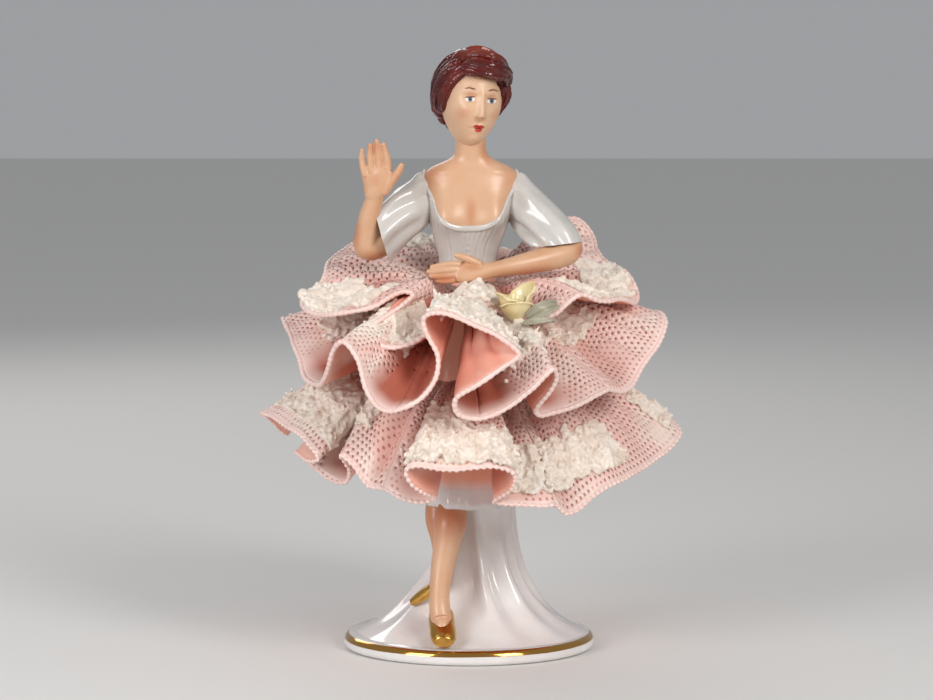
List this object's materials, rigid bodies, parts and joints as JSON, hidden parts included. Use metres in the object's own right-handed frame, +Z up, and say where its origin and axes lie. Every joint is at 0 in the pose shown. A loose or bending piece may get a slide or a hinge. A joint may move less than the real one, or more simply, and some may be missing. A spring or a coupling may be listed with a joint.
{
  "type": "porcelain lace figurine",
  "caption": "Standing lady with crossed feet on an oval plinth, one hand raised and one across her waist, in a tiered skirt of fired lace ruffles with a small rose.",
  "frame": {"origin": "middle of the plinth's flat underside", "axes": "+Z up; the figure faces -Y and +X is on the figure's left-hand side"},
  "size_m": [0.092, 0.0884, 0.1372],
  "materials": {
    "white_glaze": "white body under a clear high-gloss glaze",
    "flesh_glaze": "peach enamel shaded warmer in the hollows, glossy",
    "hair_glaze": "dark red-brown enamel, high gloss, strand relief",
    "gold_lustre": "bright burnished gold lustre fired over the glaze",
    "pink_lace": "slip-soaked net, pale pink outside and coral on the underside, satin",
    "white_lace": "clotted cream-white slip lace, matt to satin",
    "rose_yellow": "pale yellow petals, glossy",
    "leaf_green": "grey-green leaf, glossy"
  },
  "bodies": {
    "root": {"base_plinth": "white_glaze", "support_column": "white_glaze", "petticoat_core": "white_glaze", "bodice": "white_glaze", "right_sleeve": "white_glaze", "left_sleeve": "white_glaze", "front_leg": "flesh_glaze", "rear_leg": "flesh_glaze", "chest_and_neck": "flesh_glaze", "head": "flesh_glaze", "right_forearm": "flesh_glaze", "left_forearm": "flesh_glaze", "hair": "hair_glaze", "front_shoe": "gold_lustre", "rear_shoe": "gold_lustre", "lower_flounce_left": "pink_lace", "lower_flounce_front": "pink_lace", "lower_flounce_right": "pink_lace", "lower_flounce_right_back": "pink_lace", "lower_flounce_back": "pink_lace", "lower_flounce_left_back": "pink_lace", "middle_flounce_left": "pink_lace", "middle_flounce_front": "pink_lace", "middle_flounce_front_right": "pink_lace", "middle_flounce_right": "pink_lace", "middle_flounce_back_right": "pink_lace", "middle_flounce_back_left": "pink_lace", "top_flounce_left": "pink_lace", "top_flounce_front": "pink_lace", "top_flounce_right": "pink_lace", "top_flounce_back_right": "pink_lace", "top_flounce_back_left": "pink_lace", "lace_trim_lower_left": "white_lace", "lace_trim_lower_front": "white_lace", "lace_trim_lower_right": "white_lace", "lace_trim_lower_back": "white_lace", "lace_trim_middle_left": "white_lace", "lace_trim_middle_front": "white_lace", "lace_trim_middle_right": "white_lace", "lace_trim_middle_back": "white_lace", "lace_trim_top_left": "white_lace", "lace_trim_top_front": "white_lace", "lace_trim_top_right": "white_lace", "lace_trim_top_back": "white_lace", "rose_front_petal": "rose_yellow", "rose_left_petal": "rose_yellow", "rose_right_petal": "rose_yellow", "rose_heart": "rose_yellow", "rose_leaf_right": "leaf_green", "rose_leaf_under": "leaf_green"}
  },
  "joints": []
}
